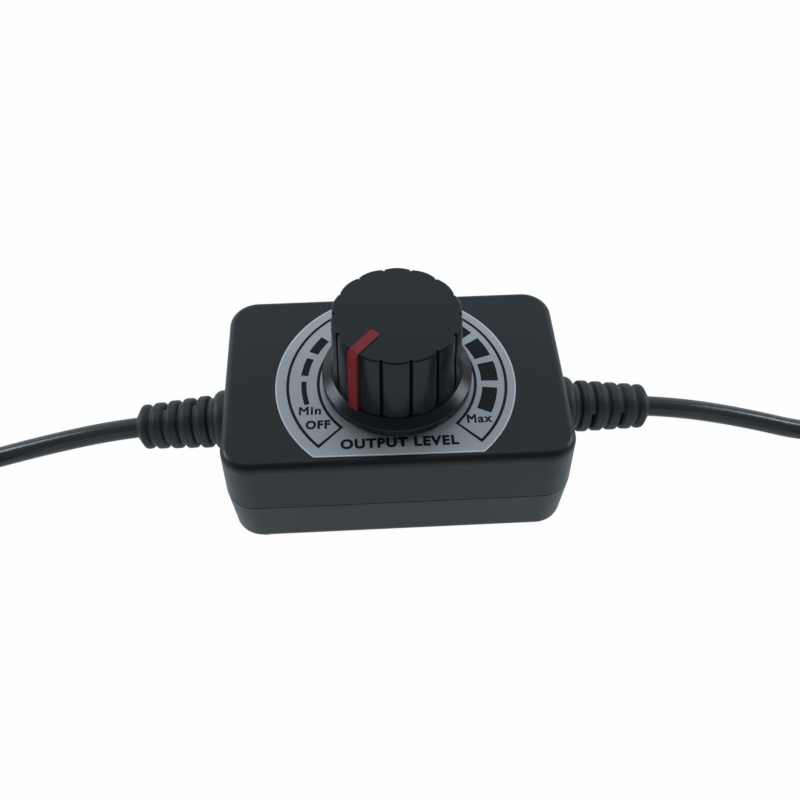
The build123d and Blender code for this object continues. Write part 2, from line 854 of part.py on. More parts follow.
def connector_grip(radius, length):
    """A moulded connector body along +Z with its tapered, ringed tail over the end of the lead."""
    tail_low = -tail_hold
    body_low = tail_low + tail_length
    slope = math.degrees(math.atan(tail_flare / tail_length))
    tail = extrude(Pos(0, 0, tail_low) * Circle(tail_radius), tail_length, taper=-slope)
    pitch = tail_length / (tail_rings + 1)
    for index in range(1, tail_rings + 1):
        low = tail_low + index * pitch - tail_groove_width
        groove_radius = tail_radius + index * tail_flare / (tail_rings + 1) - tail_groove
        tail -= pipe(2 * tail_radius, groove_radius, low, low + tail_groove_width)
    body = rod(radius, body_low, body_low + length)
    body = fillet(body.edges().filter_by(GeomType.CIRCLE), connector_round)
    slot_low = body_low + grip_setback
    slot = bar(
        (radius - grip_depth, -grip_width / 2, slot_low),
        (radius + grip_depth, grip_width / 2, slot_low + grip_length),
    )
    for index in range(grip_count):
        body -= Rot(0, 0, index * 360 / grip_count) * slot
    return tail + body - rod(lead_radius + lead_gap, tail_low, fit_gap)


def make_plug_body():
    """The moulded grip of the barrel plug."""
    front = tail_length - tail_hold + plug_length
    grip = connector_grip(plug_radius, plug_length)
    grip -= rod(barrel_radius - barrel_step + fit_gap, front - barrel_root, front)
    return connector_plane(output_route) * grip


def make_plug_barrel():
    """The plug's outer contact sleeve, stepped down where the grip is moulded round it."""
    front = tail_length - tail_hold + plug_length
    inner = barrel_radius - barrel_wall
    sleeve = pipe(barrel_radius, inner, front, front + barrel_length - tip_length)
    root = pipe(barrel_radius - barrel_step, inner, front - barrel_root, front)
    return connector_plane(output_route) * (sleeve + root)


def make_plug_insulator():
    """The plastic lining of the barrel, with the rounded ring at the plug's tip."""
    front = tail_length - tail_hold + plug_length
    bore = contact_radius + contact_wall + fit_gap
    tip_low = front + barrel_length - tip_length
    lining = pipe(barrel_radius - barrel_wall - fit_gap, bore, front - barrel_root, tip_low)
    tip = rod(barrel_radius - fit_gap, tip_low, front + barrel_length)
    tip = fillet(tip.edges().sort_by(Axis.Z)[-1], tip_length / 2)
    return connector_plane(output_route) * (lining + tip - rod(bore, tip_low, front + barrel_length))


def make_plug_contact():
    """The plug's inner contact, a thin tube that takes a socket's pin."""
    front = tail_length - tail_hold + plug_length
    high = front + barrel_length - tip_length
    lining = pipe(contact_radius + contact_wall, contact_radius, front - barrel_root, high)
    return connector_plane(output_route) * lining


def make_socket_body():
    """The moulded grip of the barrel socket, with its wide mouth."""
    front = tail_length - tail_hold + socket_length
    grip = connector_grip(socket_radius, socket_length)
    grip -= rod(socket_bore + sleeve_wall + fit_gap, front - socket_depth, front)
    return connector_plane(input_route) * grip


def make_socket_sleeve():
    """The socket's outer contact, a sprung tube that lines its mouth."""
    front = tail_length - tail_hold + socket_length
    lining = pipe(socket_bore + sleeve_wall, socket_bore, front - socket_depth, front - socket_lead_in)
    return connector_plane(input_route) * lining


def make_socket_pin():
    """The socket's centre pin."""
    front = tail_length - tail_hold + socket_length
    pin = rod(pin_radius, front - socket_depth, front - pin_setback)
    pin = fillet(pin.edges().sort_by(Axis.Z)[-1], pin_radius / 2)
    return connector_plane(input_route) * pin


nodes = {
    "upper_casing": make_upper_casing(),
    "lower_casing": make_lower_casing(),
    "casing_screws": make_casing_screws(),
    "dial_label": make_dial_label(),
    "mounting_washer": make_mounting_washer(),
    "mounting_nut": make_mounting_nut(),
    "knob": make_knob(),
    "knob_pointer": make_knob_pointer(),
    "pot_shaft": make_pot_shaft(),
    "pot_rotor": make_pot_rotor(),
    "pot_wiper": make_pot_wiper(),
    "pot_track": make_pot_track(),
    "pot_housing": make_pot_housing(),
    "pot_frame": make_pot_frame(),
    "switch_base": make_switch_base(),
    "switch_leaf": make_switch_leaf(),
    "switch_contact": make_switch_contact(),
    "track_terminals": make_track_terminals(),
    "switch_terminals": make_switch_terminals(),
    "circuit_board": make_circuit_board(),
    "transistor": make_transistor(),
    "transistor_tab": make_transistor_tab(),
    "capacitor": make_capacitor(),
    "capacitor_leads": make_capacitor_leads(),
    "driver_chip": make_driver_chip(),
    "chip_leads": make_chip_leads(),
    "diode": make_diode(),
    "diode_tabs": make_diode_tabs(),
    "chip_resistors": make_chip_resistors(),
    "input_strain_relief": make_strain_relief(input_route, input_roll),
    "output_strain_relief": make_strain_relief(output_route, output_roll),
    "input_lead": make_lead("input_lead", input_route),
    "output_lead": make_lead("output_lead", output_route),
    "input_red_wire": make_wire(input_route, 1),
    "input_black_wire": make_wire(input_route, -1),
    "output_red_wire": make_wire(output_route, 1),
    "output_black_wire": make_wire(output_route, -1),
    "plug_body": make_plug_body(),
    "plug_barrel": make_plug_barrel(),
    "plug_insulator": make_plug_insulator(),
    "plug_contact": make_plug_contact(),
    "socket_body": make_socket_body(),
    "socket_sleeve": make_socket_sleeve(),
    "socket_pin": make_socket_pin(),
}

os.makedirs("parts", exist_ok=True)
for name, solid in nodes.items():
    export_step(solid, f"parts/{name}.step")
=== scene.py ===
import bpy
import math
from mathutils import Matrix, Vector


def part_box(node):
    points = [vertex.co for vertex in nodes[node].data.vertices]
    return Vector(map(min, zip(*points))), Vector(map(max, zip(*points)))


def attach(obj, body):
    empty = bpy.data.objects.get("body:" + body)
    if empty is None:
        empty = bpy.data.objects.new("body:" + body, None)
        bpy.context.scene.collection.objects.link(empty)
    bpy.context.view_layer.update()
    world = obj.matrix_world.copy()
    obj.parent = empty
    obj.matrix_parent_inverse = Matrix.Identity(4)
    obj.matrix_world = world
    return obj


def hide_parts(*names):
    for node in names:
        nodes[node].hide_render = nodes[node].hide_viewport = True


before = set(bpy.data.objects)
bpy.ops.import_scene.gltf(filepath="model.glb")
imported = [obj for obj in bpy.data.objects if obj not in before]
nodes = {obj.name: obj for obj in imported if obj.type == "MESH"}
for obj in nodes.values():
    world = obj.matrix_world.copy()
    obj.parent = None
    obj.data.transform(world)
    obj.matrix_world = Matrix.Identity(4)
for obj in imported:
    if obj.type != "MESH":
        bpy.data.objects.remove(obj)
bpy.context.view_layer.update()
mm = 0.001


# The dimmer lies on a sheet of white paper, in a cool room with pale walls that is bright high up behind it
# and dark overhead. A soft lamp stands at its left and another at its right, and a long tube lamp hangs
# over it.
paper_size = 12.0
paper_white = (0.80, 0.83, 0.86, 1)
paper_glow = 0.98
mirrored_glow = 0.63
seen_white = (1.0, 1.0, 1.0, 1)
mirrored_white = (0.80, 0.93, 1.0, 1)

# The room's light goes by how far a direction points to the back, and the walls' by how far it points up.
room_tint = (0.76, 0.89, 1.0, 1)
room_levels = [
    (0.0, 0.15),
    (0.40, 0.17),
    (0.545, 0.50),
    (0.61, 0.80),
    (0.68, 1.10),
    (0.73, 1.35),
    (0.80, 1.00),
    (0.90, 0.40),
    (1.0, 0.30),
]
wall_tint = (0.95, 0.98, 1.0, 1)
wall_levels = [(0.0, 0.84), (0.22, 0.78), (0.31, 0.35), (0.39, 0.0)]

lamp_tint = (0.82, 0.93, 1.0)
lamp_distance = 0.62
lamps = {
    "left_lamp": {"towards": (-0.81, 0.25, 0.53), "length": 0.18, "width": 0.18, "watts": 1.1},
    "right_lamp": {"towards": (0.82, 0.20, 0.53), "length": 0.18, "width": 0.18, "watts": 1.0},
    "tube_lamp": {"towards": (0.0, 0.34, 0.94), "length": 1.0, "width": 0.04, "watts": 0.55},
}

camera_place = Vector((-4.226, -96.31, 138.98)) * mm
camera_target = Vector((1.102, 3.888, 9.828)) * mm
camera_sensor = 36.0
camera_lens = 40.29
camera_near = 0.01


class Field:
    """A node socket that takes part in Python arithmetic: each operation adds its own Math node."""

    def __init__(self, finish, socket):
        self.finish = finish
        self.socket = socket

    def math(self, operation, first, second):
        return self.finish.node("ShaderNodeMath", {"operation": operation}, {0: first, 1: second})

    def apply(self, operation):
        """A function of the one value, such as its cosine."""
        return self.finish.node("ShaderNodeMath", {"operation": operation}, {0: self})

    def __add__(self, other):
        return self.math("ADD", self, other)

    def __radd__(self, other):
        return self.math("ADD", other, self)

    def __sub__(self, other):
        return self.math("SUBTRACT", self, other)

    def __rsub__(self, other):
        return self.math("SUBTRACT", other, self)

    def __mul__(self, other):
        return self.math("MULTIPLY", self, other)

    def __rmul__(self, other):
        return self.math("MULTIPLY", other, self)

    def above(self, level):
        return self.math("GREATER_THAN", self, level)

    def beyond(self, middle, reach):
        """One where the value lies further than the reach from the middle, and zero elsewhere."""
        off = self - middle
        return (off * off).above(reach * reach)

    def stripes(self, first, pitch, span):
        """One on stripes of that span, which stand a pitch apart from the first one on, and zero between."""
        swing = (self - first) * (math.tau / pitch)
        return swing.apply("COSINE").above(math.cos(math.pi * span / pitch))


class Finish:
    """The node tree of one surface finish, or of the room's light."""

    def __init__(self, owner):
        self.owner = owner
        owner.use_nodes = True
        self.tree = owner.node_tree

    def node(self, kind, settings=None, inputs=None, output=0):
        """Adds one node: its settings come first, then the values or links of its sockets."""
        made = self.tree.nodes.new(kind)
        for name, value in (settings or {}).items():
            if name == "stops":
                self.set_stops(made.color_ramp, value)
            else:
                setattr(made, name, value)
        for name, value in (inputs or {}).items():
            self.feed(made.inputs[name], value)
        return Field(self, made.outputs[output])

    def set_stops(self, ramp, stops):
        while len(ramp.elements) < len(stops):
            ramp.elements.new(1.0)
        for element, (position, level) in zip(ramp.elements, stops):
            element.position = position
            element.color = (level, level, level, 1)

    def feed(self, socket, value):
        if isinstance(value, Field):
            self.tree.links.new(value.socket, socket)
        else:
            socket.default_value = value

    def mix(self, share, first, second):
        """A colour between two others."""
        return self.node("ShaderNodeMix", {"data_type": "RGBA"}, {0: share, 6: first, 7: second}, output=2)

    def place(self):
        """Places on the object, in metres."""
        return self.node("ShaderNodeTexCoord", output="Object")

    def part_of(self, vector, letter):
        """One coordinate of a vector."""
        return self.node("ShaderNodeSeparateXYZ", inputs={"Vector": vector}, output=letter)

    def axis(self, letter):
        """One coordinate of the places on the object."""
        return self.part_of(self.place(), letter)

    def noise(self, grain, detail=2.0, stretch=(1, 1, 1)):
        """Cloudy noise with that size of grain, in metres, drawn finer along the stretched axes."""
        where = self.node("ShaderNodeMapping", inputs={"Vector": self.place(), "Scale": stretch})
        return self.node("ShaderNodeTexNoise", inputs={"Vector": where, "Scale": 1 / grain, "Detail": detail})

    def bump(self, height, depth):
        """A normal from a height of 0 to 1, with that depth in metres."""
        return self.node("ShaderNodeBump", inputs={"Height": height, "Strength": 1.0, "Distance": depth})

    def surface(self, **sockets):
        """Sets the shader's sockets, with underscores for the spaces in their names."""
        shader = self.tree.nodes["Principled BSDF"]
        for name, value in sockets.items():
            self.feed(shader.inputs[name.replace("_", " ")], value)

    def colour(self):
        """The colour that feeds the shader so far."""
        socket = self.tree.nodes["Principled BSDF"].inputs["Base Color"]
        return Field(self, socket.links[0].from_socket)

    def cover(self, share, second):
        """Puts a second shader in the first one's place, by its share."""
        first = Field(self, self.tree.nodes["Principled BSDF"].outputs[0])
        both = self.node("ShaderNodeMixShader", inputs={0: share, 1: first, 2: second})
        self.feed(self.tree.nodes["Material Output"].inputs["Surface"], both)


bpy.ops.object.select_all(action="DESELECT")
bpy.ops.mesh.primitive_plane_add(size=paper_size)
paper = bpy.context.object
paper.name = "paper"
paper_finish = Finish(bpy.data.materials.new("white_paper"))
paper.data.materials.append(paper_finish.owner)
paper_finish.surface(Base_Color=paper_white, Roughness=0.9, Specular_IOR_Level=0.1)
seen = paper_finish.node("ShaderNodeLightPath", output="Is Camera Ray")
mirrored = paper_finish.node("ShaderNodeLightPath", output="Is Glossy Ray")
mirrored = mirrored + paper_finish.node("ShaderNodeLightPath", output="Is Transmission Ray")
glow_colour = paper_finish.mix(seen, mirrored_white, seen_white)
glow = paper_finish.node("ShaderNodeEmission", inputs={"Color": glow_colour, "Strength": 1.0})
paper_finish.cover(seen * paper_glow + mirrored * mirrored_glow, glow)

room = Finish(bpy.data.worlds.new("room"))
bpy.context.scene.world = room.owner
direction = room.node("ShaderNodeTexCoord", output="Generated")
towards_back = room.part_of(direction, "Y")
above_floor = room.part_of(direction, "Z")
level = room.node("ShaderNodeValToRGB", {"stops": room_levels}, {"Fac": towards_back})
wall = room.node("ShaderNodeValToRGB", {"stops": wall_levels}, {"Fac": above_floor})
background = room.tree.nodes["Background"]
room.feed(background.inputs["Strength"], level.math("MAXIMUM", level, wall))
room.feed(background.inputs["Color"], room.mix(wall, room_tint, wall_tint))

for name, make in lamps.items():
    towards = Vector(make["towards"]).normalized()
    bpy.ops.object.light_add(type="AREA", location=towards * lamp_distance)
    lamp = bpy.context.object
    lamp.name = name
    lamp.data.shape = "RECTANGLE"
    lamp.data.size = make["length"]
    lamp.data.size_y = make["width"]
    lamp.data.energy = make["watts"]
    lamp.data.color = lamp_tint
    lamp.rotation_euler = towards.to_track_quat("Z", "Y").to_euler()

bpy.ops.object.camera_add(location=camera_place)
camera = bpy.context.object
camera.rotation_euler = (camera_target - camera_place).to_track_quat("-Z", "Y").to_euler()
camera.data.sensor_width = camera_sensor
camera.data.lens = camera_lens
camera.data.clip_start = camera_near
bpy.context.scene.camera = camera
bpy.context.scene.view_settings.view_transform = "Standard"


# The casing is two shells of black plastic, moulded with a fine satin grain. Both lean out to the parting
# line between them. Two plated screws hold them together, in sunk seats on one diagonal of the underside.
casing_black = (0.0080, 0.0095, 0.0110, 1)
zinc = (0.58, 0.60, 0.62, 1)
cloud_size = 9 * mm
cloud_tone = 1.25
cloud_gloss = 0.12
grain_gloss = 0.08
sheen_tone = 0.8
sheen_gloss = 0.16
sheen_depth = 0.002 * mm
rich_detail = 3.0
noise_middle = 0.5


def shade(colour, factor):
    """The same colour, lighter or darker."""
    return [channel * factor for channel in colour[:3]] + [1]


def dress(material, *names):
    """Gives CAD nodes their finish."""
    for node in names:
        nodes[node].data.materials.clear()
        nodes[node].data.materials.append(material)


def moulded_plastic(name, colour, roughness, grain, depth, gloss=0.5):
    """Moulded plastic or rubber: a fine sparked grain, with cloudy changes of gloss."""
    finish = Finish(bpy.data.materials.new(name))
    cloud = finish.noise(cloud_size, rich_detail)
    fine = finish.noise(grain, rich_detail)
    finish.surface(
        Base_Color=finish.mix(cloud, colour, shade(colour, cloud_tone)),
        Roughness=roughness + cloud_gloss * (cloud - noise_middle) + grain_gloss * (fine - noise_middle),
        Specular_IOR_Level=gloss,
        Normal=finish.bump(fine, depth),
    )
    return finish.owner


def plated_metal(name, colour, roughness, grain, stretch=(1, 1, 1)):
    """Bare or plated metal, with faint patches of sheen or, where stretched, the lines of turning."""
    finish = Finish(bpy.data.materials.new(name))
    sheen = finish.noise(grain, rich_detail, stretch)
    finish.surface(
        Base_Color=finish.mix(sheen, shade(colour, sheen_tone), colour),
        Metallic=1.0,
        Roughness=roughness + sheen_gloss * (sheen - noise_middle),
        Normal=finish.bump(sheen, sheen_depth),
    )
    return finish.owner


casing_plastic = moulded_plastic(
    "casing_plastic", casing_black, roughness=0.36, grain=0.22 * mm, depth=0.006 * mm, gloss=0.38
)
dress(casing_plastic, "lower_casing", "upper_casing")
plated_steel = plated_metal("plated_steel", zinc, roughness=0.34, grain=0.8 * mm)
dress(plated_steel, "casing_screws")


# The potentiometer is a small switched one: a die-cast frame with its bushing, a moulded housing and switch
# base, a rotor with a springy wiper on a film of carbon, and a bright flatted shaft.
brass = (0.72, 0.52, 0.24, 1)
tin = (0.66, 0.66, 0.65, 1)
shaft_bright = (0.74, 0.74, 0.73, 1)
shaft_lines = (0.1, 0.1, 6)
rotor_cream = (0.52, 0.50, 0.44, 1)
moulding_brown = (0.060, 0.036, 0.022, 1)
carbon_black = (0.014, 0.014, 0.015, 1)
contact_brass = plated_metal("contact_brass", brass, roughness=0.28, grain=0.5 * mm)
tinned_copper = plated_metal("tinned_copper", tin, roughness=0.32, grain=0.4 * mm)
shaft_metal = plated_metal("shaft_metal", shaft_bright, roughness=0.24, grain=0.3 * mm, stretch=shaft_lines)
rotor_plastic = moulded_plastic(
    "rotor_plastic", rotor_cream, roughness=0.45, grain=0.3 * mm, depth=0.003 * mm
)
pot_moulding = moulded_plastic(
    "pot_moulding", moulding_brown, roughness=0.48, grain=0.25 * mm, depth=0.004 * mm
)
track_carbon = moulded_plastic(
    "track_carbon", carbon_black, roughness=0.62, grain=0.05 * mm, depth=0.002 * mm
)
dress(plated_steel, "pot_frame", "switch_leaf")
dress(shaft_metal, "pot_shaft")
dress(rotor_plastic, "pot_rotor")
dress(pot_moulding, "pot_housing", "switch_base")
dress(track_carbon, "pot_track")
dress(contact_brass, "pot_wiper", "switch_contact")
dress(tinned_copper, "track_terminals", "switch_terminals")


# The circuit board is green glass-fibre laminate with copper lanes under its mask. It carries a flat power
# transistor, a sleeved capacitor, a driver chip, a diode and a row of chip resistors.
mask_green = (0.012, 0.085, 0.036, 1)
lane_tone = 1.7
lane_pitch = 2.4 * mm
lane_bend = 1.6
lane_edge = 0.72
lane_depth = 0.02 * mm
weave_size = 0.3 * mm
weave_share = 0.2
laminate = Finish(bpy.data.materials.new("board_laminate"))
lanes = laminate.node(
    "ShaderNodeTexWave",
    {"bands_direction": "DIAGONAL"},
    {
        "Vector": laminate.place(),
        "Scale": 1 / (math.tau * lane_pitch),
        "Distortion": lane_bend,
        "Detail": 1.0,
    },
)
weave = laminate.noise(weave_size)
laminate.surface(
    Base_Color=laminate.mix(lanes.above(lane_edge), mask_green, shade(mask_green, lane_tone)),
    Roughness=0.30 + 0.14 * weave,
    Normal=laminate.bump(lanes + weave_share * weave, lane_depth),
)
dress(laminate.owner, "circuit_board")

epoxy_black = (0.012, 0.012, 0.013, 1)
black_epoxy = moulded_plastic(
    "black_epoxy", epoxy_black, roughness=0.55, grain=0.12 * mm, depth=0.004 * mm
)
dress(black_epoxy, "transistor", "driver_chip", "diode")
dress(tinned_copper, "transistor_tab", "capacitor_leads", "chip_leads", "diode_tabs")

sleeve_blue = (0.010, 0.020, 0.060, 1)
stripe_grey = (0.42, 0.44, 0.46, 1)
stripe_height = 2.2 * mm
can_end = 0.25 * mm
shrink_size = 1.2 * mm
shrink_depth = 0.01 * mm
can_low, can_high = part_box("capacitor")
can_middle = (can_low + can_high) / 2
can = Finish(bpy.data.materials.new("capacitor_can"))
bare_end = can.axis("Y").beyond(can_middle.y, (can_high.y - can_low.y) / 2 - can_end)
stripe = can.axis("Z").above(can_middle.z + stripe_height)
shrink = can.noise(shrink_size, rich_detail)
can.surface(
    Base_Color=can.mix(bare_end, can.mix(stripe, sleeve_blue, stripe_grey), zinc),
    Metallic=bare_end,
    Roughness=0.28 + 0.12 * shrink,
    Normal=can.bump(shrink, shrink_depth),
)
dress(can.owner, "capacitor")

chip_cap = 0.35 * mm
fired_size = 0.2 * mm
chip_low, chip_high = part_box("chip_resistors")
chip_middle = (chip_low + chip_high) / 2
ceramic = Finish(bpy.data.materials.new("resistor_ceramic"))
cap = ceramic.axis("Y").beyond(chip_middle.y, (chip_high.y - chip_low.y) / 2 - chip_cap)
fired = ceramic.noise(fired_size)
ceramic.surface(
    Base_Color=ceramic.mix(cap, epoxy_black, tin),
    Metallic=cap,
    Roughness=0.35 + 0.2 * fired,
)
dress(ceramic.owner, "chip_resistors")


# Inside the casing each lead splits into a red and a black wire in thin bright insulation. The wires rise
# over the edge of the board and are soldered to its pads.
red_insulation = (0.30, 0.012, 0.010, 1)
black_insulation = (0.010, 0.010, 0.011, 1)
red_jacket = moulded_plastic(
    "red_insulation", red_insulation, roughness=0.34, grain=0.4 * mm, depth=0.003 * mm
)
black_jacket = moulded_plastic(
    "black_insulation", black_insulation, roughness=0.34, grain=0.4 * mm, depth=0.003 * mm
)
dress(red_jacket, "input_red_wire", "output_red_wire")
dress(black_jacket, "input_black_wire", "output_black_wire")


# The strain reliefs are moulded in soft black rubber, with rings that let them bend and windows cut through
# every second gap between the rings. Painted shade darkens the rings' shoulders beside the gaps, and painted
# light lifts the floors of the gaps against the shade that falls in them.
rubber_black = (0.0165, 0.0190, 0.0210, 1)
# Painted shade for the rings' shoulders, then painted light for the floors of the gaps.
shoulder_painted_shade = (0.0110, 0.0127, 0.0143, 1)
gap_painted_light = (0.0600, 0.0690, 0.0760, 1)
exit_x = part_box("upper_casing")[1].x
exit_height = 11.2 * mm
relief_droop = math.radians(4)
ring_count = 5
ring_pitch = 2.65 * mm
first_gap = 3.1 * mm
gap_span = 0.8 * mm
shoulder_span = 1.5 * mm
gaps_middle = first_gap + (ring_count - 1) * ring_pitch / 2
relief_rubber = Finish(
    moulded_plastic("relief_rubber", rubber_black, roughness=0.52, grain=0.2 * mm, depth=0.006 * mm)
)
outward = relief_rubber.axis("X").apply("ABSOLUTE") - exit_x
downward = exit_height - relief_rubber.axis("Z")
from_wall = outward * math.cos(relief_droop) + downward * math.sin(relief_droop)
ringed = 1 - from_wall.beyond(gaps_middle, ring_count * ring_pitch / 2)
# Bands of painted shade on the shoulders beside each gap, and of painted light on the gaps' floors.
shoulder_shade_mask = from_wall.stripes(first_gap, ring_pitch, shoulder_span) * ringed
gap_light_mask = from_wall.stripes(first_gap, ring_pitch, gap_span) * ringed
ring = relief_rubber.mix(shoulder_shade_mask, relief_rubber.colour(), shoulder_painted_shade)
relief_rubber.surface(Base_Color=relief_rubber.mix(gap_light_mask, ring, gap_painted_light))
dress(relief_rubber.owner, "input_strain_relief", "output_strain_relief")


# The leads are round two-core cable in a glossy black jacket. Each leaves the casing through its strain
# relief, comes down to the table and folds back once towards the casing.
lead_diameter = 3.6 * mm
lead_low = lead_diameter / 2
lead_black = (0.0390, 0.0400, 0.0420, 1)
lead_roundness = 12
lead_steps = 16
output_route = [
    (0.0220, 0.0000, 0.0112),
    (0.0330, 0.0000, 0.0112),
    (0.0485, 0.0001, 0.0098),
    (0.0625, -0.0004, 0.0066),
    (0.0805, -0.0027, 0.0019),
    (0.0955, 0.0005, lead_low),
    (0.1110, 0.0095, lead_low),
    (0.1255, 0.0110, lead_low),
    (0.1360, 0.0040, lead_low),
    (0.1385, -0.0075, lead_low),
    (0.1325, -0.0165, 0.0020),
    (0.1230, -0.0202, 0.0034),
    (0.1130, -0.0200, 0.0050),
    (0.1045, -0.0200, 0.0050),
]
input_route = [
    (-0.0220, 0.0000, 0.0112),
    (-0.0330, 0.0000, 0.0112),
    (-0.0485, 0.0001, 0.0098),
    (-0.0625, -0.0002, 0.0065),
    (-0.0795, -0.0013, 0.0019),
    (-0.0940, 0.0020, lead_low),
    (-0.1095, 0.0102, lead_low),
    (-0.1240, 0.0112, lead_low),
    (-0.1345, 0.0044, lead_low),
    (-0.1375, -0.0070, lead_low),
    (-0.1320, -0.0164, 0.0020),
    (-0.1225, -0.0200, 0.0036),
    (-0.1125, -0.0202, 0.0055),
    (-0.1040, -0.0202, 0.0055),
]
lead_jacket = moulded_plastic(
    "lead_jacket", lead_black, roughness=0.22, grain=0.6 * mm, depth=0.0005 * mm, gloss=0.35
)


def lay_lead(name, route):
    """A lead along its route, as one smooth line of that real length."""
    curve = bpy.data.curves.new(name, "CURVE")
    curve.dimensions = "3D"
    curve.bevel_depth = lead_diameter / 2
    curve.bevel_resolution = lead_roundness
    curve.use_fill_caps = True
    line = curve.splines.new("NURBS")
    line.points.add(len(route) - 1)
    for point, place in zip(line.points, route):
        point.co = (*place, 1)
    line.order_u = 3
    line.use_endpoint_u = True
    line.resolution_u = lead_steps
    lead = bpy.data.objects.new(name, curve)
    bpy.context.scene.collection.objects.link(lead)
    curve.materials.append(lead_jacket)
    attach(lead, "casing")
    return lead


output_cable = lay_lead("output_cable", output_route)
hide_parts("output_lead")
input_cable = lay_lead("input_cable", input_route)
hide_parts("input_lead")


# The leads end in a barrel plug and a barrel socket: moulded black grips with ringed tails, nickel-plated
# contacts turned from brass, and a pale plastic lining in the plug.
nickel = (0.68, 0.67, 0.64, 1)
barrel_lines = (8, 0.2, 0.2)
grip_black = (0.0095, 0.0100, 0.0110, 1)
lining_cream = (0.50, 0.49, 0.44, 1)
connector_grip = moulded_plastic(
    "connector_grip", grip_black, roughness=0.42, grain=0.25 * mm, depth=0.006 * mm
)
turned_nickel = plated_metal("connector_metal", nickel, roughness=0.22, grain=0.25 * mm, stretch=barrel_lines)
lining_plastic = moulded_plastic(
    "insulator_plastic", lining_cream, roughness=0.38, grain=0.3 * mm, depth=0.003 * mm
)
dress(connector_grip, "plug_body", "socket_body")
dress(turned_nickel, "plug_barrel", "plug_contact", "socket_sleeve", "socket_pin")
dress(lining_plastic, "plug_insulator")


# The label is a silver film with a satin face, die-cut and stuck to the top of the casing round the knob. Its
# scale and words are printed on it in black, and a thin pale painted highlight runs along its cut edge.
label_silver = (0.43, 0.445, 0.46, 1)
# Painted highlight along the label's cut edge, where the edge catches the light.
edge_painted_highlight = (0.72, 0.74, 0.76, 1)
edge_width = 0.22 * mm
speckle_size = 0.16 * mm
speckle_depth = 0.002 * mm
speckle_dark = 0.9
speckle_light = 1.1
dial_y = -1.8 * mm
label_low, label_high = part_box("dial_label")
label_top = label_high.z
label_radius = (label_high.x - label_low.x) / 2
label_centre = Vector(((label_low.x + label_high.x) / 2, dial_y, 0))
label_turn = math.radians(-0.65)
label_front = -14.89 * mm
label_back = 16.99 * mm

film = Finish(bpy.data.materials.new("label_film"))
speckle = film.noise(speckle_size)
squared = film.node(
    "ShaderNodeMapping",
    {"vector_type": "TEXTURE"},
    {"Vector": film.place(), "Location": label_centre, "Rotation": (0, 0, label_turn)},
)
off_x = film.part_of(squared, "X")
off_y = film.part_of(squared, "Y")
round_edge = (off_x * off_x + off_y * off_y).above((label_radius - edge_width) ** 2)
straight_edge = off_y.beyond((label_front + label_back) / 2, (label_back - label_front) / 2 - edge_width)
# The band of painted highlight just inside the label's round and straight cut edges.
highlight_edge_mask = (round_edge + straight_edge).above(0.5)
face = film.mix(speckle, shade(label_silver, speckle_dark), shade(label_silver, speckle_light))
film.surface(
    Base_Color=film.mix(highlight_edge_mask, face, edge_painted_highlight),
    Metallic=0.3,
    Roughness=0.40 + 0.10 * (speckle - noise_middle),
    Normal=film.bump(speckle, speckle_depth),
)
dress(film.owner, "dial_label")

ink_black = (0.0035, 0.0045, 0.0060, 1)
ink_tone = 1.6
ink_patch = 0.5 * mm
ink_thickness = 0.02 * mm
ink = Finish(bpy.data.materials.new("label_ink"))
ink_cloud = ink.noise(ink_patch)
ink.surface(
    Base_Color=ink.mix(ink_cloud, ink_black, shade(ink_black, ink_tone)),
    Roughness=0.45 + 0.1 * ink_cloud,
    Specular_IOR_Level=0.2,
)

print_shift = 0.22 * mm
print_centre = label_centre + Vector((print_shift, 0, 0))
arc_step = 2
weld_reach = 0.0005 * mm


def printed_arc(inner, outer, start, end):
    """An arc of ink round the dial: an upright sliver of its section, spun from one angle to the other."""
    bpy.ops.object.select_all(action="DESELECT")
    bpy.ops.mesh.primitive_plane_add(size=1, rotation=(math.pi / 2, 0, 0))
    arc = bpy.context.object
    arc.scale = (outer - inner, ink_thickness, 1)
    arc.location = ((inner + outer) / 2, 0, 0)
    bpy.ops.object.transform_apply(location=True, rotation=True, scale=True)
    bpy.ops.object.mode_set(mode="EDIT")
    bpy.ops.mesh.select_all(action="SELECT")
    bpy.ops.transform.rotate(value=-math.radians(start), orient_axis="Z", center_override=(0, 0, 0))
    steps = max(2, round(abs(end - start) / arc_step))
    bpy.ops.mesh.spin(steps=steps, angle=math.radians(start - end), center=(0, 0, 0), axis=(0, 0, 1))
    bpy.ops.mesh.select_all(action="SELECT")
    bpy.ops.mesh.remove_doubles(threshold=weld_reach)
    bpy.ops.mesh.normals_make_consistent(inside=False)
    bpy.ops.object.mode_set(mode="OBJECT")
    arc.location = print_centre + Vector((0, 0, label_top + ink_thickness / 2))
    bpy.ops.object.transform_apply(location=True)
    return arc


# Two rings and two straight ends frame the scale. The outer ring stops where it meets the label's back edge.
ring_line = 0.48 * mm
scale_outer = 18.25 * mm
scale_inner = 13.15 * mm
scale_start = 224.2
scale_end = -45.0
ring_cut_left = 113.2
ring_cut_right = 66.2
half_turn = math.degrees(ring_line / 2 / scale_outer)
ring_arcs = [
    (scale_inner, scale_start + half_turn, scale_end - half_turn),
    (scale_outer, scale_start + half_turn, ring_cut_left),
    (scale_outer, ring_cut_right, scale_end - half_turn),
]
prints = []
for radius, start, end in ring_arcs:
    prints.append(printed_arc(radius - ring_line / 2, radius + ring_line / 2, start, end))
for angle in (scale_start, scale_end):
    prints.append(printed_arc(scale_inner, scale_outer, angle + half_turn, angle - half_turn))

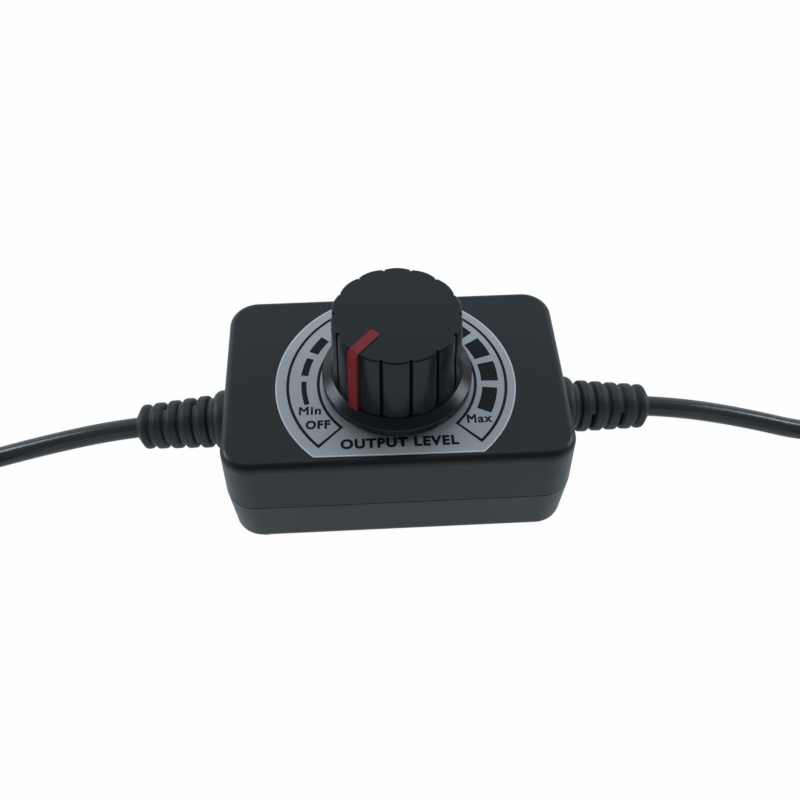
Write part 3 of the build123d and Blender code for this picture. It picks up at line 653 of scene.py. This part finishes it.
# Each bar of the scale has two angles, in degrees, and a width across the ring, in millimetres.
bar_middle = 15.55 * mm
bars = [
    (195.7, 177.6, 0.85),
    (172.9, 158.8, 1.2),
    (153.8, 140.2, 1.65),
    (132.4, 118.0, 1.9),
    (112.4, 98.0, 2.1),
    (92.2, 77.6, 2.3),
    (72.0, 57.2, 2.5),
    (51.6, 36.8, 2.75),
    (31.4, 16.8, 2.9),
    (12.0, -2.7, 2.85),
    (-8.0, -26.3, 2.5),
]
for start, end, width in bars:
    prints.append(printed_arc(bar_middle - width / 2 * mm, bar_middle + width / 2 * mm, start, end))

# Each word has its middle, counted from the middle of the scale, then its height and its width, all in
# millimetres, and last its boldness.
letter_spacing = 1.16
capital_swell = 0.050
small_swell = 0.033
words = [
    ("Min", -14.5, -5.6, 1.7, 3.6, small_swell),
    ("OFF", -13.2, -8.5, 1.75, 4.0, capital_swell),
    ("Max", 12.9, -8.6, 1.75, 4.1, small_swell),
    ("OUTPUT LEVEL", -0.2, -12.6, 1.95, 18.9, capital_swell),
]


def printed_word(text, x, y, height, width, swell):
    """A bold word in ink, with its middle at x, y from the middle of the scale."""
    bpy.ops.object.select_all(action="DESELECT")
    bpy.ops.object.text_add()
    word = bpy.context.object
    word.data.body = text
    word.data.align_x = "CENTER"
    word.data.align_y = "CENTER"
    word.data.space_character = letter_spacing
    word.data.bevel_depth = swell
    word.data.bevel_resolution = 1
    bpy.ops.object.convert(target="MESH")
    word = bpy.context.object
    low = [min(vertex.co[axis] for vertex in word.data.vertices) for axis in range(3)]
    high = [max(vertex.co[axis] for vertex in word.data.vertices) for axis in range(3)]
    sizes = (width, height, ink_thickness)
    word.scale = [size / (top - bottom) for size, bottom, top in zip(sizes, low, high)]
    word.location = print_centre + Vector((x, y, label_top + ink_thickness / 2))
    bpy.ops.object.transform_apply(location=True, rotation=True, scale=True)
    return word


for text, x, y, height, width, swell in words:
    prints.append(printed_word(text, x * mm, y * mm, height * mm, width * mm, swell))

bpy.ops.object.select_all(action="DESELECT")
for piece in prints:
    piece.select_set(True)
bpy.context.view_layer.objects.active = prints[0]
bpy.ops.object.join()
label_print = bpy.context.object
label_print.name = "label_print"
label_print.data.materials.clear()
label_print.data.materials.append(ink.owner)
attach(label_print, "casing")


# A plated steel washer and a thin hexagon nut sit on the bushing under the knob. They clamp the potentiometer
# to the casing's roof.
dress(plated_steel, "mounting_washer", "mounting_nut")


# The knob is one moulding of black satin plastic: a lobed grip on a shallow skirt, with painted shade in the
# grooves between the lobes, and a red pointer let into its top and side.
knob_black = (0.0090, 0.0105, 0.0120, 1)
# Painted shade for the grooves between the lobes.
groove_painted_shade = (0.0030, 0.0034, 0.0040, 1)
pointer_red = (0.225, 0.0135, 0.0175, 1)
groove_count = 14
groove_width = 0.6 * mm
first_groove = math.radians(228)
grip_radius = 10.5 * mm
skirt_height = 2.42 * mm
knob_face = 0.02 * mm
knob_low, knob_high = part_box("knob")
knob_middle = (knob_low + knob_high) / 2
knob_plastic = Finish(
    moulded_plastic("knob_plastic", knob_black, roughness=0.25, grain=0.16 * mm, depth=0.003 * mm, gloss=0.27)
)
across = knob_plastic.axis("X") - knob_middle.x
along = knob_plastic.axis("Y") - knob_middle.y
up = knob_plastic.axis("Z")
bearing = along.math("ARCTAN2", along, across)
on_grip = up.above(knob_low.z + skirt_height) * (1 - up.above(knob_high.z - knob_face))
# Painted shade: the grooves get a dull near-black shader that stands in for the shade deep inside them.
groove_shade_mask = bearing.stripes(first_groove, math.tau / groove_count, groove_width / grip_radius) * on_grip
painted_recess_shade = knob_plastic.node(
    "ShaderNodeBsdfPrincipled",
    inputs={"Base Color": groove_painted_shade, "Roughness": 0.8, "Specular IOR Level": 0.05},
)
knob_plastic.cover(groove_shade_mask, painted_recess_shade)
dress(knob_plastic.owner, "knob")
pointer_plastic = moulded_plastic(
    "pointer_red", pointer_red, roughness=0.36, grain=0.16 * mm, depth=0.003 * mm, gloss=0.3
)
dress(pointer_plastic, "knob_pointer")
